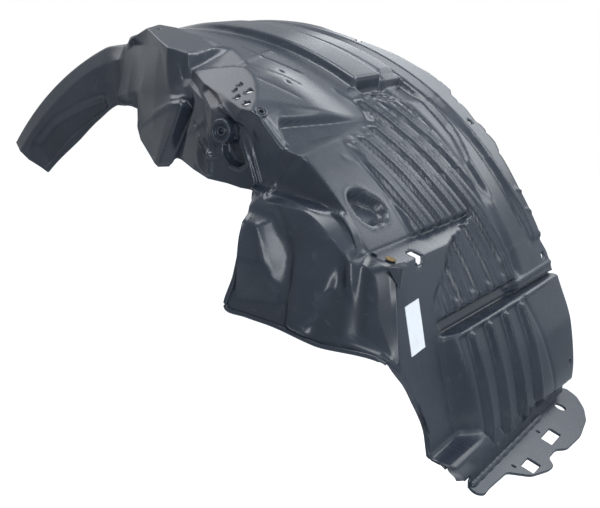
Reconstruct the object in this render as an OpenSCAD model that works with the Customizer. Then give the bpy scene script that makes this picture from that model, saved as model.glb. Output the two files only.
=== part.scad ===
// Wheel arch liner for a passenger vehicle, moulded as one sheet, with its stuck-on label and a small brass clip.
// Origin: the middle of the screw hole at the top of the outboard edge. +X rearward, +Y outboard, +Z up, millimetres.
// The shapes are worked out about the wheel axle, at the inboard edge of the band, and moved to the origin at the end.

/* [Arch] */
// Radius of the outboard edge of the arch
arch_r = 400; // [360:1:440]
// Radius of the inboard edge of the band
inner_r = 382; // [350:1:420]
// Width of the band across the car
band_w = 338; // [300:1:380]
// Thickness of the moulded sheet
wall_t = 2.4; // [2:0.1:3.5]
// Arch angle at the front end of the arm
front_end = 142; // [130:1:148]

/* [Ribs and beads] */
// Height of the ribs along the band
rib_h = 5.5; // [2:0.5:8]
// Distance from rib to rib
rib_pitch = 35.5; // [32:0.5:38]
// Height of the beads on the lower panel
bead_h = 6; // [2:0.5:9]

/* [Raised parts] */
// Height of the plateau along the outboard side
plateau_h = 9; // [4:0.5:14]
// Height of the cross step on the band
step_h = 11; // [5:0.5:15]
// Depth of the rounded recess on the band
recess_d = 12; // [4:0.5:16]
// Height of the block on the pocket wall
block_h = 13; // [6:0.5:16]
// Distance from the axle plane to the top edge of the box's rear wall
box_x = 349; // [345:1:353]
// Rearward lean of the box's rear wall, per unit of its height
box_lean = 0.15; // [0.1:0.01:0.2]

/* [Bottom flange] */
// Distance from the axle plane to the foot of the sheet
foot_x = 398; // [394:1:404]
// Thickness of the flange plate
flange_t = 3; // [2.5:0.1:4]
// Slope of the flange plate, in degrees below level
flange_slope = 22; // [10:1:35]
// Radius of the large round hole
flange_hole_r = 7; // [5:0.1:8]

/* [Fixings] */
// Radius of the round boss on the front wall
boss_r = 11; // [8:0.5:14]
// Radius of the screw holes in the outboard edge
screw_r = 4; // [3:0.1:5]
// Radius of the holes in the raised platform
small_r = 3; // [2:0.1:4]

/* [Label and clip] */
// Width of the label
label_w = 28; // [20:1:36]
// Height of the label
label_h = 44; // [30:1:50]
// Radius of the clip head
clip_r = 5; // [4:0.1:7]

/* [Hidden] */
// Width position and arch radius of the screw hole that is the origin
datum_y = band_w - 16;
datum_r = band_r(90, datum_y) - wall_t / 2;

// Smooth step from 0 at a to 1 at b.
function ss(a, b, x) = let(u = min(1, max(0, (x - a) / (b - a)))) u * u * (3 - 2 * u);
// Smooth window: 1 between a and b, falling to 0 over w outside them.
function win(a, b, w, x) = ss(a - w, a, x) * (1 - ss(b, b + w, x));
// Round hill of half width w at c.
function hill(c, w, x) = exp(-pow((x - c) / w, 2));

// Inboard edge of the band: arch angle, then position across the car.
fold = [[-3, 46], [-0.7, 45], [2.9, 20], [6.3, 20], [13.2, 0], [18.4, -20], [24, -13], [29.4, -6], [33, 0], [47, 0],
    [48.4, -4], [50.4, 0], [54.5, -10], [56.3, -12], [58.4, -8], [64, 15], [66.8, 23], [68.8, 30], [74.9, 59], [75.5, 60],
    [77, 63], [78.7, 65], [80.7, 64], [84.5, 80], [90.5, 110], [97.6, 140], [105, 188], [107, 203], [112, 207], [150, 210]];

// Sections of the inboard wall at the pocket: arch angle, then position across the car and radius of five points,
// from just below the band to the free edge.
pocket = [
    [-3, [45, 396], [44, 395], [43, 394], [42, 393], [41, 391]],
    [-0.7, [44, 396], [43, 395], [42, 394], [41, 393], [40, 391]],
    [2.9, [19, 396], [18, 395], [18, 394], [18, 393], [18, 391]],
    [6.3, [19, 376], [19, 375], [18, 374], [18, 373], [18, 371]],
    [13.2, [-1, 378], [-2, 377], [-2, 376], [-3, 375], [-3, 373]],
    [18.2, [-21, 378], [-22, 377], [-23, 376], [-24, 375], [-25, 372]],
    [24, [-15, 384], [-20, 374], [-25, 356], [-32, 336], [-37, 317]],
    [29.4, [-10, 394], [-17, 384], [-23, 355], [-32, 318], [-38, 285]],
    [33, [-3, 379], [-16, 372], [-23, 340], [-34, 300], [-40, 266]],
    [36.6, [-2, 376], [-16, 368], [-25, 335], [-35, 290], [-40, 250]],
    [40.6, [0, 370], [-14, 362], [-22, 335], [-31, 303], [-38, 276]],
    [44.3, [0, 353], [-13, 346], [-20, 330], [-28, 312], [-34, 300]],
    [47.6, [0, 340], [-10, 333], [-14, 329], [-18, 325], [-22, 321]],
    [49, [0, 350], [-1, 338], [-6, 332], [-9, 328], [-11, 323]]
];
// Sections of the inboard wall at the front arm.
arm = [
    [107, [190, 374], [184, 350], [183, 340], [182, 331], [181, 318]],
    [112, [196, 378], [191, 356], [190, 346], [189, 337], [188, 325]],
    [118, [197, 380], [193, 358], [192, 346], [191, 335], [190, 321]],
    [128, [197, 378], [193, 356], [192, 343], [191, 331], [190, 316]],
    [150, [197, 378], [193, 357], [192, 346], [191, 335], [190, 323]]
];
// The faceted wall between pocket and arm: arch angle where a row leaves the band, then five points X, Y, Z down
// to the free edge.
facets = [
    [50.4, [226, 0, 272], [219, 0, 264], [213, 0, 257], [209, -1, 252], [206, 0, 248]],
    [52.4, [222, -2, 288], [216, 0, 277], [212, 0, 267], [209, 0, 258], [205, 1, 249]],
    [54.5, [217, -6, 302], [213, -2, 290], [210, 0, 276], [208, 0, 262], [205, 1, 249]],
    [56.3, [208, -6, 309], [205, -1, 300], [206, 0, 285], [207, 0, 268], [204, 1, 249]],
    [58.4, [186, -2, 309], [192, -2, 297], [199, -1, 276], [202, 0, 262], [203, 0, 249]],
    [61.5, [173, 2, 316], [178, 2, 300], [184, 1, 280], [188, 0, 265], [190, 0, 250]],
    [64, [162, 5, 321], [168, 4, 304], [172, 3, 284], [175, 1, 268], [176, 0, 253]],
    [66.8, [149, 13, 320], [152, 9, 306], [153, 7, 288], [153, 5, 270], [151, 4, 255]],
    [68.8, [130, 29, 330], [134, 25, 323], [136, 20, 311], [134, 18, 296], [126, 15, 261]],
    [74.9, [94, 57, 343], [108, 41, 335], [116, 34, 322], [110, 32, 304], [96, 36, 266]],
    [75.5, [90, 57, 343], [97, 50, 336], [104, 46, 326], [106, 50, 312], [70, 60, 264]],
    [77, [82, 60, 344], [88, 52, 335], [95, 46, 326], [102, 50, 314], [60, 62, 254]],
    [78.7, [76, 60, 358], [77, 56, 338], [87, 48, 327], [97, 36, 318], [52, 54, 254]],
    [80.7, [60, 62, 354], [66, 57, 338], [70, 55, 328], [78, 45, 319], [44, 58, 257]],
    [84.5, [36, 82, 373], [34, 78, 352], [36, 72, 330], [38, 66, 307], [30, 70, 261]],
    [90.5, [-2, 112, 374], [0, 101, 350], [1, 91, 329], [6, 88, 298], [0, 90, 276]],
    [92.6, [-14, 121, 374], [-12, 110, 350], [-8, 98, 328], [-12, 101, 300], [-13, 101, 287]],
    [95, [-30, 133, 374], [-26, 121, 350], [-20, 107, 326], [-22, 112, 314], [-23, 115, 306]],
    [98.5, [-62, 158, 374], [-59, 149, 350], [-54, 135, 322], [-52, 134, 313], [-48, 134, 307]],
    [105, [-98, 182, 362], [-96, 174, 340], [-94, 162, 316], [-93, 163, 311], [-90, 164, 306]]
];
n_fac = len(facets);

// Index of the list entry at or before arch angle t.
function place(list, t, i = 0) = i >= len(list) - 2 || t < list[i + 1][0] ? i : place(list, t, i + 1);
// Tangent at entry i that never overshoots its neighbours.
function tang(a, b) = a * b > 0 ? 2 * a * b / (a + b) : 0;
function slope_at(list, i, p, c) = i <= 0 || i >= len(list) - 1 ? 0 :
    tang((list[i][p][c] - list[i - 1][p][c]) / (list[i][0] - list[i - 1][0]),
        (list[i + 1][p][c] - list[i][p][c]) / (list[i + 1][0] - list[i][0]));
// Coordinate c of section point p at arch angle t.
function sec_val(list, t, p, c) = let(
        i = place(list, t),
        h = list[i + 1][0] - list[i][0],
        u = (t - list[i][0]) / h)
    (2 * pow(u, 3) - 3 * pow(u, 2) + 1) * list[i][p][c]
    + (pow(u, 3) - 2 * pow(u, 2) + u) * h * slope_at(list, i, p, c)
    + (3 * pow(u, 2) - 2 * pow(u, 3)) * list[i + 1][p][c]
    + (pow(u, 3) - pow(u, 2)) * h * slope_at(list, i + 1, p, c);

// Distance from a width position to the middle of the nearest groove between ribs.
function groove_gap(y, first, pitch) = let(k = (y - first) / pitch) abs(k - round(k)) * pitch;

// Foot of the cross step's face at width y, and its top edge further forward.
function step_t(y) = 54.7 - 0.0257 * (y - 20);
function step_top(y) = lookup(y, [[0, 58.6], [21, 57.7], [54, 55.5], [98, 53.2], [130, 52.1], [150, 51.4]]);
// Rear end of the hollow behind the cross step, and the hollow's depth.
function hollow_t(y) = lookup(y, [[0, 47.8], [10, 47.8], [79, 48.8], [132, 50.4], [150, 51.2]]);
function hollow_d(y) = step_h * lookup(y, [[0, 1], [30, 0.72], [76, 0.5], [135, 0.1], [150, 0]]);
// Outboard corner of the rear box at arch angle t.
function box_corner(t) = lookup(t, [[0, 77], [4.7, 75], [6.4, 70], [19.2, 59], [23.6, 60], [26.2, 84], [29.4, 103], [31.2, 165], [32.4, 196]]);
function box_side(t) = lookup(t, [[0, 30], [18.6, 22], [20, 10], [23.6, 6], [25.4, 8], [27.4, 25], [29.4, 34], [32.4, 6]]);

// Radius of the plain arch.
function base_r(t, y) = inner_r + (arch_r - inner_r) * y / band_w + 5 * win(4, 10, 8, t) * ss(150, 300, y)
    + 6 * ss(96, 110, t) * (1 - ss(215, 290, y)) - 10 * ss(105, 125, t) * ss(230, 338, y);
// Ribs along the middle of the band.
function ribs(t, y) = let(st = lookup(y, [[80, 49], [113, 49.5], [142, 51], [160, 56], [240, 58]]))
    ss(74, 92, y) * (1 - ss(228, 244, y)) * (1 - ss(st - 1.5, st, t)) * ss(20.6, 21.6, t)
    * (rib_h * ss(3, 8.5, groove_gap(y, 90, rib_pitch)) - 2);
// Plateau with its end faces, the channel behind it and the grooves beside it.
function outboard_relief(t, y) = let(cb = lookup(t, [[20, 262], [40, 268], [47, 290], [58, 300]]))
    plateau_h * win(184, 240, 7, y) * ss(57.6, 59, t) * (1 - ss(84, 96, t))
    - 5 * hill(248, 5, y) * ss(57.6, 59, t) * (1 - ss(88, 98, t))
    + 5 * win(258, 288, 5, y) * ss(59.3, 60.5, t) * (1 - ss(84, 96, t))
    - 9 * win(190, 292, 4, y) * ss(52.5, 57.8, t) * (1 - ss(57.8, 59.2, t))
    - 4 * hill(250, 7, y) * win(22, 57, 2, t)
    - 5 * win(36, 54, 4, t) * ss(236, 262, y) * (1 - ss(cb - 8, cb + 4, y))
    - 3 * hill(302, 4, y) * ss(26, 30, t)
    + 4 * ss(306, 316, y) * ss(24, 26, t);
// Cross step: raised in front, a sloped face, a sharp drop at its foot and a hollow that rises to the rear.
function cross_step(t, y) = let(te = step_t(y), tt = step_top(y), th = hollow_t(y))
    step_h * 0.4 * (1 - ss(70, 135, y)) * min(1, max(0, (t - te) / max(0.2, tt - te))) * (1 - ss(62, 70, t))
    - hollow_d(y) * (1 - ss(te - 0.4, te, t)) * min(1, max(0, (t - th) / max(0.4, 0.42 * (te - th))));
// Rounded three-sided recess on the band.
function recess(t, y) = let(a = (t - 38.3) / 2.6, b = (y - 36) / 26,
        q = pow(abs(a), 2.4) + pow(abs(b + 0.25 * a), 2.4))
    -recess_d * (1 - ss(0.55, 1, q));
// Radius of the rear box: its ledge, then its upright rear wall.
function wall_r(t) = (box_x + box_lean * 197) / (cos(t) + box_lean * sin(t));
function box_r(t) = t > 29.4 ? wall_r(29.4) - 18 * (t - 29.4) / 3 : wall_r(max(1.2, t));
// Lower panel with its beads.
function panel(t, y) = let(yl = lookup(t, [[0, 119], [18, 99]]),
        f = groove_gap(y, yl + 2, 39.5))
    4.5 + bead_h * (1 - ss(3, 9, f)) * ss(yl - 12, yl - 6, y) * (1 - ss(yl + 126, yl + 132, y)) * win(-0.5, 16.8, 0.8, t);

// Radius of the plane nx * X + ny * Y + nz * Z = d at arch angle t and width position y.
function plane_r(t, y, nx, ny, nz, d) = (d - ny * y) / (nx * cos(t) + nz * sin(t));
// Bump at the front of the band: its top face falls to the rear, its ramp falls to the front.
function bump_edge(t) = lookup(t, [[74, 97], [75.7, 100], [80, 117], [84, 130], [88, 140], [92, 136], [97, 150], [105, 192],
    [107, 225], [112, 240]]);
function bump_r(t, y) = min(plane_r(t, y, 0.188, -0.15, 0.97, 363.7), plane_r(t, y, -0.338, -0.198, 0.92, 340.3));
// Banked bay behind the bump, with the raised platform on its inboard side.
function bay_t(y) = 76.3 - 2 * (y - 60) / 37;
function platform_y(t) = lookup(t, [[58, 30], [60.6, 40], [64.5, 60], [66.7, 68], [68.9, 70], [74.9, 60]]);
function bay_r(t, y) = (350 + 0.46 * (y - 60)) / sin(max(40, t))
    + 2.2 * (1 - ss(platform_y(t) - 1.2, platform_y(t) + 1.2, y)) * (1 - ss(74.2, 75, t));

// Radius of the band at arch angle t and width position y.
function band_r(t, y) = let(
        r0 = base_r(t, y) + ribs(t, y) + outboard_relief(t, y) + cross_step(t, y) + recess(t, y),
        low = ss(17.6, 18.8, t),
        r1 = t < 18.8 ? (r0 + panel(t, y)) * (1 - low) + (r0 - 9) * low : r0,
        r2 = r1 - 9 * win(18.8, 20.4, 0.6, t) * (1 - ss(228, 240, y)),
        k = (1 - ss(0, 1, (y - box_corner(t)) / box_side(t))) * (1 - ss(32.3, 32.7, t)),
        r3 = r2 * (1 - k) + box_r(t) * k,
        tf = 3 - 2.7 * ss(98, 124, y),
        foot = 1 - ss(tf - 0.5, tf + 0.7, t),
        r4 = r3 * (1 - foot) + foot_x / cos(max(-4, min(5, t))) * foot,
        kb = (1 - ss(bump_edge(t) - 3, bump_edge(t) + 9, y)) * ss(75.3, 76.3, t) * (1 - ss(105.5, 112, t)),
        r5 = t < 75 || t > 112 ? r4 : r4 * (1 - kb) + bump_r(t, y) * kb,
        kc = (1 - ss(bay_t(y) - 0.3, bay_t(y) + 0.3, t)) * ss(56, 57, t),
        r6 = r5 * (1 - kc) + min(r5, bay_r(t, y)) * kc,
        kf = (1 - ss(-1, 3, y - 4.2 * (t - 50.4))) * win(50.4, 55.8, 0.6, t))
    r6 * (1 - kf) + plane_r(t, y, 0.853, -0.03, 0.521, 350.3) * kf;

// Upper border of the hollow in the arm's wall.
function arm_top(t) = lookup(t, [[112, 346], [118, 352], [122, 357], [130, 367], [140, 368]]);
// Relief of the arm's wall, measured towards the car, at arch angle t and radius r.
function wall_relief(t, r) = -8 * win(116, 136, 3, t) * (1 - ss(arm_top(t) - 14, arm_top(t), r)) * ss(326, 330, r);

// Point of the sheet's outer side from arch angle, width position and radius.
function at(t, y, r) = [r * cos(t), y, r * sin(t)];
// Section point p of the pocket or arm wall at arch angle t, kept below a fold of radius rf.
function sec_pt(list, t, p, rf) = at(t, sec_val(list, t, p, 0), min(sec_val(list, t, p, 1), rf - 0.8 * p));
function mix(a, b, u) = a * (1 - u) + b * u;
// Point p of the wall at arch angle t: 0 is the fold, 5 the free edge.
function corner(t, p) = let(yf = lookup(t, fold), rf = band_r(t, yf))
    p == 0 ? at(t, yf, rf)
    : t < facets[0][0] ? mix(sec_pt(pocket, min(t, 49), p, rf), facets[0][p], max(0, (t - 49) / 1.4))
    : t > facets[n_fac - 1][0] ? mix(sec_pt(arm, max(t, 107), p, rf), facets[n_fac - 1][p], max(0, (107 - t) / 2))
    : let(i = place(facets, t), u = (t - facets[i][0]) / (facets[i + 1][0] - facets[i][0]))
    mix(facets[i][p], facets[i + 1][p], u);
// Point of the wall at arch angle t, from 0 at the fold to 1 at the free edge. It leans back by the angle lean.
function wall_pt(t, w, lean) = let(
        k = min(4.9999, w * 5),
        p = mix(corner(t, floor(k)), corner(t, floor(k) + 1), k - floor(k)),
        a = atan2(p[2], p[0]) - lean * w,
        r = norm([p[0], p[2]]))
    at(a, p[1] - wall_relief(a, r), r);
// Outboard edge of the band, with its wide tab and two shallow notches.
function edge_y(t) = band_w + lookup(t, [[22, 0], [25, -9], [33, -8], [39, 0], [41, 7], [44, 6], [46, 1], [48.5, 6],
    [52, 6], [53, 16], [58, 15], [64, 6], [70, 0]]);
// Width position of the band's column c, which is its place on a band with no fold.
function col_y(t, c) = let(yf = lookup(t, fold), y82 = max(82, yf + (band_w - yf) * 82 / 338))
    c < 82 ? yf + (y82 - yf) * c / 82 : y82 + (edge_y(t) - y82) * (c - 82) / 256;

// Rows along the arch, from the foot to the end of the front arm.
rows = [-2.2, -0.6, 1, 2.5, 3.7, 6.3, 11, 16.6, 17.6, 18.8, 20.4, 21.6, 24, 26.5, 29.4, 31.4, 32.3,
    32.8, 35.5, 38, 40.5, 43.5, 46.5, 48, 49, 50.4, 51.8, 52.8, 53.8, 54.8, 56.3, 57.8, 59.2, 61.5, 64, 66.8, 68.8, 72, 74.9,
    75.7, 77, 78.7, 80.7, 84.5, 88, 90.5, 92.6, 95, 98.5, 105, 107, 109.5, 113, 119, 126, 134, 142];
// Columns of the band.
cols = concat([0, 12, 24, 36, 48, 60, 72],
    [for (k = [0:4]) each [81.5, 87, 93, 98.5] + [1, 1, 1, 1] * k * 35.5],
    [248, 256, 263, 275, 288, 295, 302, 308, 316, 338]);
n_wall = 15;
n_row = len(rows);
n_col = n_wall + len(cols);
// The end of the arm is cut at a slant, so rows lean back there, towards the free edge and the outboard edge.
function row_t(i) = rows[i] * (rows[i] > 120 ? 1 + (front_end / 142 - 1) * (rows[i] - 120) / 22 : 1);
function grid_pt(i, j) = let(t = row_t(i), w = 1 - j / n_wall, c = cols[max(0, j - n_wall)],
        tb = t - 7.5 * c / 338 * ss(118, 142, t), y = col_y(tb, c))
    j < n_wall ? wall_pt(t, w, 3.6 * ss(118, 142, t)) : at(tb, y, band_r(tb, y));

module sheet() {
    g = [for (i = [0:n_row - 1]) [for (j = [0:n_col - 1]) grid_pt(i, j)]];
    // Unit normals towards the outside of the arch, from the neighbours of each point.
    nrm = [for (i = [0:n_row - 1]) [for (j = [0:n_col - 1])
        let(a = g[min(i + 1, n_row - 1)][j] - g[max(i - 1, 0)][j],
            b = g[i][min(j + 1, n_col - 1)] - g[i][max(j - 1, 0)],
            n = cross(b, a))
        n / norm(n)]];
    pts = concat([for (i = [0:n_row - 1]) each g[i]],
        [for (i = [0:n_row - 1]) for (j = [0:n_col - 1]) g[i][j] - wall_t * nrm[i][j]]);
    m = n_row * n_col;
    function id(s, i, j) = s * m + i * n_col + j;
    // Each cell is split along its shorter diagonal.
    function short(i, j) = norm(g[i][j] - g[i + 1][j + 1]) < norm(g[i + 1][j] - g[i][j + 1]);
    faces = concat(
        [for (i = [0:n_row - 2]) for (j = [0:n_col - 2]) each short(i, j) ?
            [[id(0, i, j), id(0, i + 1, j), id(0, i + 1, j + 1)], [id(0, i, j), id(0, i + 1, j + 1), id(0, i, j + 1)]] :
            [[id(0, i, j), id(0, i + 1, j), id(0, i, j + 1)], [id(0, i + 1, j), id(0, i + 1, j + 1), id(0, i, j + 1)]]],
        [for (i = [0:n_row - 2]) for (j = [0:n_col - 2]) each short(i, j) ?
            [[id(1, i, j), id(1, i + 1, j + 1), id(1, i + 1, j)], [id(1, i, j), id(1, i, j + 1), id(1, i + 1, j + 1)]] :
            [[id(1, i, j), id(1, i, j + 1), id(1, i + 1, j)], [id(1, i + 1, j), id(1, i, j + 1), id(1, i + 1, j + 1)]]],
        [for (i = [0:n_row - 2]) each
            [[id(0, i, 0), id(1, i, 0), id(1, i + 1, 0)], [id(0, i, 0), id(1, i + 1, 0), id(0, i + 1, 0)]]],
        [for (i = [0:n_row - 2]) each
            [[id(0, i, n_col - 1), id(1, i + 1, n_col - 1), id(1, i, n_col - 1)],
                [id(0, i, n_col - 1), id(0, i + 1, n_col - 1), id(1, i + 1, n_col - 1)]]],
        [for (j = [0:n_col - 2]) each
            [[id(0, 0, j), id(1, 0, j + 1), id(1, 0, j)], [id(0, 0, j), id(0, 0, j + 1), id(1, 0, j + 1)]]],
        [for (j = [0:n_col - 2]) each
            [[id(0, n_row - 1, j), id(1, n_row - 1, j), id(1, n_row - 1, j + 1)],
                [id(0, n_row - 1, j), id(1, n_row - 1, j + 1), id(0, n_row - 1, j + 1)]]]);
    polyhedron(pts, faces, convexity = 12);
}

// Places children on the faceted wall at X and Z of the side view, with +Z towards the car.
module on_wall(x, y, z) {
    translate([x, y, z]) rotate([90, 0, 0]) children();
}
// Round boss of the faceted wall, hollow behind, and the rounded pocket beside it, open to the front.
module boss() {
    on_wall(169, 5.5, 303) difference() {
        cylinder(r1 = boss_r + 1.5, r2 = boss_r, h = 10, $fn = 40);
        translate([0, 0, -1]) cylinder(r1 = boss_r - 1, r2 = boss_r - 2.4, h = 11 - wall_t, $fn = 40);
        translate([0, 0, 8]) difference() {
            cylinder(r = boss_r * 0.72, h = 4, $fn = 40);
            cylinder(r = boss_r * 0.42, h = 4, $fn = 32);
        }
        cylinder(r = 2.5, h = 20, $fn = 20);
    }
}
module wall_pocket(grow, deep) {
    on_wall(187.5, 3, 280) translate([0, 0, -deep]) linear_extrude(height = deep + 4 - grow) offset(r = 4 + grow)
        square([8, 11], center = true);
}

// Solid through a few corner points.
module through(points) {
    hull() for (p = points) translate(p) cube(0.4, center = true);
}
// Block at the front of the pocket wall: its foot on the wall, then its upright face, whose foot lies in the wall.
block_foot = [[218, -15.5, 241], [237, -14.8, 238], [247, -15.5, 235], [250, -18.3, 228], [258, -24.5, 204], [258, -27.4, 189],
    [256, -30, 172], [232, -34.5, 166], [210, -37, 166], [213, -31, 214]];
block_face = [[216, -28, 229], [231, -27, 225], [241, -30, 200], [248, -30.5, 172], [210, -31, 180], [213, -30, 205]];
module block_solid(inset) {
    mid = [232, 0, 204];
    through(concat(
        [for (p = block_foot) [p[0] + inset * sign(mid[0] - p[0]) * 0.8, p[1] + inset * 4, p[2] + inset * sign(mid[2] - p[2]) * 0.8]],
        [for (p = block_face) [p[0] + inset * sign(mid[0] - p[0]) * 0.5, p[1] - block_h * (p[2] - 120) / 180 + inset, p[2] - inset * 0.5]]));
}

// Places children on the plane of the bottom flange: x runs down its slope, y across the car.
module on_flange() {
    translate([foot_x - 3, 0, -11]) rotate([0, flange_slope, 0]) children();
}

// Flange plate with its round, slotted and square holes.
module flange() {
    on_flange() translate([0, 0, -flange_t / 2]) linear_extrude(height = flange_t) difference() {
        polygon([[0, 60], [6, 48], [14, 50], [18, 66], [18, 112], [40, 134], [47, 166], [38, 178], [38, 203], [47, 218],
            [42, 300], [31, 326], [16, 345], [0, 350]]);
        translate([20, 208]) square([14, 32]);
        translate([24, 136]) square([15, 23]);
    }
    // Rounded ridge along the joint of sheet and flange.
    translate([foot_x + 1, 55, -12]) rotate([-90, 0, 0]) cylinder(r = 4, h = 196, $fn = 32);
}

// Screw holes of the outboard edge: arch angle and width position. The one at 90 degrees is the origin.
edge_holes = [[4.2, 326], [21.6, 324], [46, 326], [70, 324], [90, datum_y], [101, 322]];
// Holes through the raised platform: arch angle, width position, radius.
platform_holes = [[65.5, 50, 3], [64, 34, 3.5], [61.5, 24, 4], [62.6, 46, 3.5], [60.4, 14, 3]];

// Bore through the sheet at angle t and width y, along the arch radius.
module bore(t, y, r) {
    rotate([0, 90 - t, 0]) translate([0, y, band_r(t, y) - 30])
        cylinder(r = r, h = 50, $fn = 24);
}

// Moves a shape worked out about the axle to the origin.
module from_axle() {
    translate([0, -datum_y, -datum_r]) children();
}

module liner() {
    color("#3a3f46") from_axle() difference() {
        union() {
            difference() {
                sheet();
                on_wall(169, 5.5, 303) translate([0, 0, -20]) cylinder(r = boss_r - 0.5, h = 26, $fn = 40);
                block_solid(wall_t);
            }
            difference() {
                block_solid(0);
                block_solid(wall_t);
            }
            boss();
            difference() {
                wall_pocket(wall_t, 9 + wall_t);
                wall_pocket(0, 9);
            }
            flange();
        }
        wall_pocket(0, 9);
        for (h = edge_holes) bore(h[0], h[1], screw_r);
        for (h = platform_holes) bore(h[0], h[1], h[2] * small_r / 3);
        on_flange() for (h = [[13, 299, flange_hole_r], [14, 218, 2.8], [20, 128, 2.8]])
            translate([h[0], h[1], -10]) cylinder(r = h[2], h = 20, $fn = 24);
        on_ledge() translate([0, 0, -12]) cylinder(r = 2.05, h = 20, $fn = 24);
        // Hook slot in the rear edge of the ledge.
        translate([box_x - 11, 34, 185]) cube([14, 15, 30]);
    }
}

// The label lies on the leaning rear wall of the box.
module label() {
    color("#e8ebee") from_axle() translate([box_x + box_lean * 57, 17, 140]) rotate([0, -atan(box_lean), 0]) rotate([8, 0, 0])
        translate([0.05, -label_w / 2, -label_h / 2]) cube([0.4, label_w, label_h]);
}

// Places children on the ledge at the clip, with +Z square to the ledge.
module on_ledge() {
    translate([box_x - 9, 3, 200.2]) rotate([0, 18.7, 0]) children();
}

// Brass clip in the corner of the ledge: its round head and the pin through the sheet.
module clip() {
    color("#b08a3a") from_axle() on_ledge() {
        cylinder(r = clip_r, h = 1.6, $fn = 32);
        translate([0, 0, -7]) cylinder(r = 2, h = 8, $fn = 24);
    }
}

liner();
label();
clip();
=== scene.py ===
"""Looks of a moulded wheel arch liner with its blank label and small brass clip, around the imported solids.

Lengths in the shape functions are millimetres about the wheel axle, at the inboard edge of the band:
X rearward, Y outboard, Z up. t is the arch angle in degrees from +X, y the position across the car and r the
distance from the axle line. The forms follow the solids, and this script adds finer relief, rims and finish.
"""

import math

import bpy
import numpy as np
from mathutils import Matrix, Vector


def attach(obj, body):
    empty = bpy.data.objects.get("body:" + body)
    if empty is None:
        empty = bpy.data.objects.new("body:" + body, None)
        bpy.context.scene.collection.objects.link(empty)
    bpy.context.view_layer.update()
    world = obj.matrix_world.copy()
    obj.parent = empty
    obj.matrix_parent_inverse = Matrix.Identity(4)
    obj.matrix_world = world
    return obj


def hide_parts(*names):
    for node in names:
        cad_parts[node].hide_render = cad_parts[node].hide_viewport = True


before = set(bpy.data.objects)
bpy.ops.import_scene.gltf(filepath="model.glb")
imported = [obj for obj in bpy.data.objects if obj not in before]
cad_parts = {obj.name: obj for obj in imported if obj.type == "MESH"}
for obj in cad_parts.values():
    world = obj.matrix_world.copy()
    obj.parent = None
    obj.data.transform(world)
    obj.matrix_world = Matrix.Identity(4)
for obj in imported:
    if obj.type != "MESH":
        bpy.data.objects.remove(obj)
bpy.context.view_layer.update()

# Driving dimensions, the same as in the solids.
ARCH_R = 400.0  # outboard edge of the arch
INNER_R = 382.0  # inboard edge of the band
BAND_W = 338.0  # width of the band
WALL_T = 2.4  # sheet thickness
FRONT_END = 142.0  # arch angle of the front end
RIB_H = 5.5  # height of the ribs
RIB_PITCH = 35.5  # distance from rib to rib
BEAD_H = 6.0  # height of the beads on the lower panel
BEAD_PITCH = 39.5  # distance from bead to bead
BEAD_HALF = 5.6  # half width of a bead
GROOVE_D = 9.0  # depth of the groove above the lower panel
PLATEAU_H = 9.0  # height of the plateau along the outboard side
STEP_H = 11.0  # height of the cross step
PLATFORM_H = 3.2  # height of the platform on its bay
RECESS_D = 12.0  # depth of the rounded recess
BLOCK_H = 13.0  # height of the block on the pocket wall
SWELLING_H = 7.0  # height of the swelling behind the block
RIDGE_H = 6.5  # height of the step along the top of the pocket wall
BOX_X = 349.0  # top edge of the box's rear wall
BOX_LEAN = 0.15  # rearward lean of that wall, per unit of its height
LEDGE_Z = 197.0  # height of the ledge's rear edge
LEDGE_REAR, LEDGE_FRONT = 29.4, 32.4  # arch angles of the ledge's two edges
LEDGE_SLOPE = 18.7  # degrees by which the ledge falls to the rear
FOOT_X = 398.0  # foot of the sheet
FLANGE_T = 3.0  # thickness of the flange plate
FLANGE_SLOPE = 22.0  # degrees by which the flange falls to the rear
SCREW_R = 4.0  # radius of the screw holes in the outboard edge
DATUM_Y = BAND_W - 16.0  # the origin of the row: the screw hole at the top of the outboard edge
DATUM_R = 401.948  # radius of the middle of the sheet at that hole

rad = math.pi / 180
ARC_MM = (ARCH_R - 12) * rad  # millimetres along the band to one degree of arch angle


def ss(a, b, x):
    """Smooth step from 0 at a to 1 at b."""
    u = np.clip((x - a) / (b - a), 0, 1)
    return u * u * (3 - 2 * u)


def win(a, b, w, x):
    """Smooth window: 1 between a and b, falling to 0 over w outside them."""
    return ss(a - w, a, x) * (1 - ss(b, b + w, x))


def hill(c, w, x):
    """Round hill of half width w at c."""
    return np.exp(-(((x - c) / w) ** 2))


def ramp(a, b, x):
    """Straight slope from 0 at a to 1 at b."""
    return np.clip((x - a) / (b - a), 0, 1)


def look(t, table):
    """Straight-line lookup in a list of pairs."""
    xs, ys = zip(*table)
    return np.interp(t, xs, ys)


def blend(a, b, share):
    """a where share is 0 and b where it is 1."""
    return a * (1 - share) + b * share


def near_line(x, y, points):
    """Distance from (x, y) to the chain of straight lines through the points."""
    best = np.full(np.shape(x), 1e9)
    for (ax, ay), (bx, by) in zip(points, points[1:]):
        dx, dy = bx - ax, by - ay
        u = np.clip(((x - ax) * dx + (y - ay) * dy) / (dx * dx + dy * dy), 0, 1)
        best = np.minimum(best, np.hypot(x - ax - u * dx, y - ay - u * dy))
    return best


# Fold between band and inboard wall: arch angle and width position.
FOLD = [
    (-3, 46), (-0.7, 45), (2.9, 20), (6.3, 20), (13.2, 0), (18.4, -20), (24, -13), (29.4, -6), (33, 0),
    (47, 0), (48.4, -4), (50.4, 0), (54.5, -10), (56.3, -12), (58.4, -8), (64, 15), (66.8, 23), (68.8, 30),
    (74.9, 59), (75.5, 60), (77, 63), (78.7, 65), (80.7, 64), (84.5, 80), (90.5, 110), (97.6, 140),
    (105, 188), (107, 203), (112, 207), (150, 210),
]

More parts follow.
